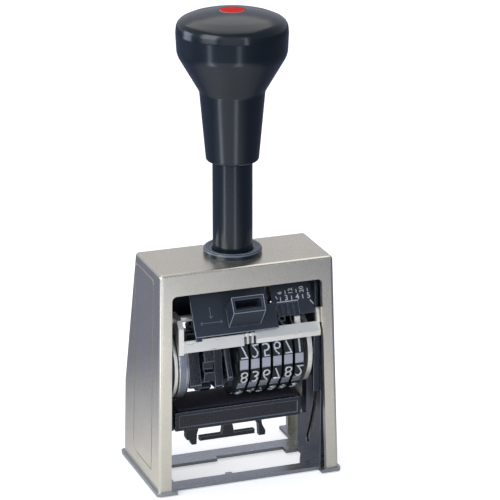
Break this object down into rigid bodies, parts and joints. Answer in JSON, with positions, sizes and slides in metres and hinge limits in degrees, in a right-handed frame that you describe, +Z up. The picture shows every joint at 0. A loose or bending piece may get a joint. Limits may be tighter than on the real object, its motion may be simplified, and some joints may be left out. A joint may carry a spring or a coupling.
{
  "type": "numbering machine",
  "caption": "Hand numbering machine: a sprung handle presses a carriage of number wheels through a metal housing while its ink pad swings aside.",
  "frame": {"origin": "on the plunger axis, in the plane of the paper under the base plate", "axes": "+X to the right, +Y to the back, +Z up along the plunger"},
  "size_m": [0.0664, 0.043, 0.161],
  "materials": {
    "satin_nickel": "satin nickel plate over die-cast zinc",
    "base_steel": "brushed steel sheet",
    "gloss_black": "polished black moulding",
    "marker_red": "glossy",
    "black_plastic": "semi-matt moulding",
    "cam_black": "semi-gloss moulding",
    "blackened_steel": "blackened sheet",
    "bright_steel": "bright",
    "plain_steel": "plain",
    "screw_steel": "zinc plated",
    "spring_steel": "drawn wire",
    "wheel_metal": "engraved wheel, black fields and bright figures",
    "ink_felt": "inked felt",
    "buffer_rubber": "matt"
  },
  "bodies": {
    "housing": {"housing_shell": "satin_nickel", "base_plate": "base_steel", "base_screws": "screw_steel", "guide_barrel": "gloss_black", "collar_ring": "gloss_black", "barrel_nut": "screw_steel", "buffer_ring": "buffer_rubber", "guide_rail_left": "blackened_steel", "guide_rail_right": "blackened_steel", "return_spring": "spring_steel"},
    "plunger": {"handle": "gloss_black", "marker_dot": "marker_red", "handle_screw": "screw_steel", "push_rod": "bright_steel", "spring_cap": "plain_steel", "rod_nut": "screw_steel", "carriage_bridge": "blackened_steel", "bridge_screws": "screw_steel", "cheek_left": "blackened_steel", "cheek_right": "blackened_steel", "guide_shoes": "blackened_steel", "wheel_axle": "bright_steel", "axle_clips": "screw_steel", "front_crossbar": "bright_steel", "selector_rod": "bright_steel", "scale_plate": "black_plastic", "detent_comb": "plain_steel"},
    "pad": {"pad_arm_left": "bright_steel", "pad_arm_right": "bright_steel", "pad_tray": "blackened_steel", "ink_cartridge": "black_plastic", "ink_felt": "ink_felt", "pull_grip": "black_plastic", "pad_latches": "black_plastic", "follower_pins": "bright_steel"},
    "repeat_drum": {"cam_hub": "plain_steel", "drive_disc": "bright_steel", "repeat_cam_a": "cam_black", "finger_plate": "cam_black", "repeat_cam_c": "cam_black", "repeat_cam_d": "cam_black"},
    "feed": {"feed_fork": "plain_steel", "pawl_rod": "bright_steel", "feed_pawls": "plain_steel"},
    "saddle": {"selector_saddle": "black_plastic"},
    "selector": {"selector_plate": "black_plastic"},
    "wheel_1": {"number_wheel_1": "wheel_metal"},
    "wheel_2": {"number_wheel_2": "wheel_metal"},
    "wheel_3": {"number_wheel_3": "wheel_metal"},
    "wheel_4": {"number_wheel_4": "wheel_metal"},
    "wheel_5": {"number_wheel_5": "wheel_metal"},
    "wheel_6": {"number_wheel_6": "wheel_metal"}
  },
  "joints": [
    {"name": "plunger_press", "type": "slide", "parent": "housing", "child": "plunger", "axis": [0, 0, -1], "range_m": [0, 0.0273], "stiffness_N_per_m": 400, "springref_m": -0.015, "deforming": ["return_spring"]},
    {"name": "pad_swing", "type": "hinge", "parent": "plunger", "child": "pad", "pos_m": [0, 0, 0.0421], "axis": [1, 0, 0], "range_deg": [0, 90]},
    {"name": "feed_swing", "type": "hinge", "parent": "plunger", "child": "feed", "pos_m": [0, 0, 0.0421], "axis": [1, 0, 0], "range_deg": [-36, 0]},
    {"name": "repeat_drum_spin", "type": "hinge", "parent": "plunger", "child": "repeat_drum", "pos_m": [0, 0, 0.0421], "axis": [1, 0, 0], "continuous": true},
    {"name": "selector_slide", "type": "slide", "parent": "plunger", "child": "saddle", "axis": [1, 0, 0], "range_m": [-0.0036, 0.012]},
    {"name": "selector_press", "type": "slide", "parent": "saddle", "child": "selector", "axis": [0, 0, -1], "range_m": [0, 0.0015], "stiffness_N_per_m": 300, "springref_m": -0.003},
    {"name": "wheel_1_spin", "type": "hinge", "parent": "plunger", "child": "wheel_1", "pos_m": [0, 0, 0.0421], "axis": [1, 0, 0], "continuous": true},
    {"name": "wheel_2_spin", "type": "hinge", "parent": "plunger", "child": "wheel_2", "pos_m": [0, 0, 0.0421], "axis": [1, 0, 0], "continuous": true},
    {"name": "wheel_3_spin", "type": "hinge", "parent": "plunger", "child": "wheel_3", "pos_m": [0, 0, 0.0421], "axis": [1, 0, 0], "continuous": true},
    {"name": "wheel_4_spin", "type": "hinge", "parent": "plunger", "child": "wheel_4", "pos_m": [0, 0, 0.0421], "axis": [1, 0, 0], "continuous": true},
    {"name": "wheel_5_spin", "type": "hinge", "parent": "plunger", "child": "wheel_5", "pos_m": [0, 0, 0.0421], "axis": [1, 0, 0], "continuous": true},
    {"name": "wheel_6_spin", "type": "hinge", "parent": "plunger", "child": "wheel_6", "pos_m": [0, 0, 0.0421], "axis": [1, 0, 0], "continuous": true}
  ],
  "couplings": [
    {"joint": "pad_swing", "follows": "plunger_press", "rad_per_m": 57.5},
    {"joint": "feed_swing", "follows": "plunger_press", "rad_per_m": -23}
  ]
}
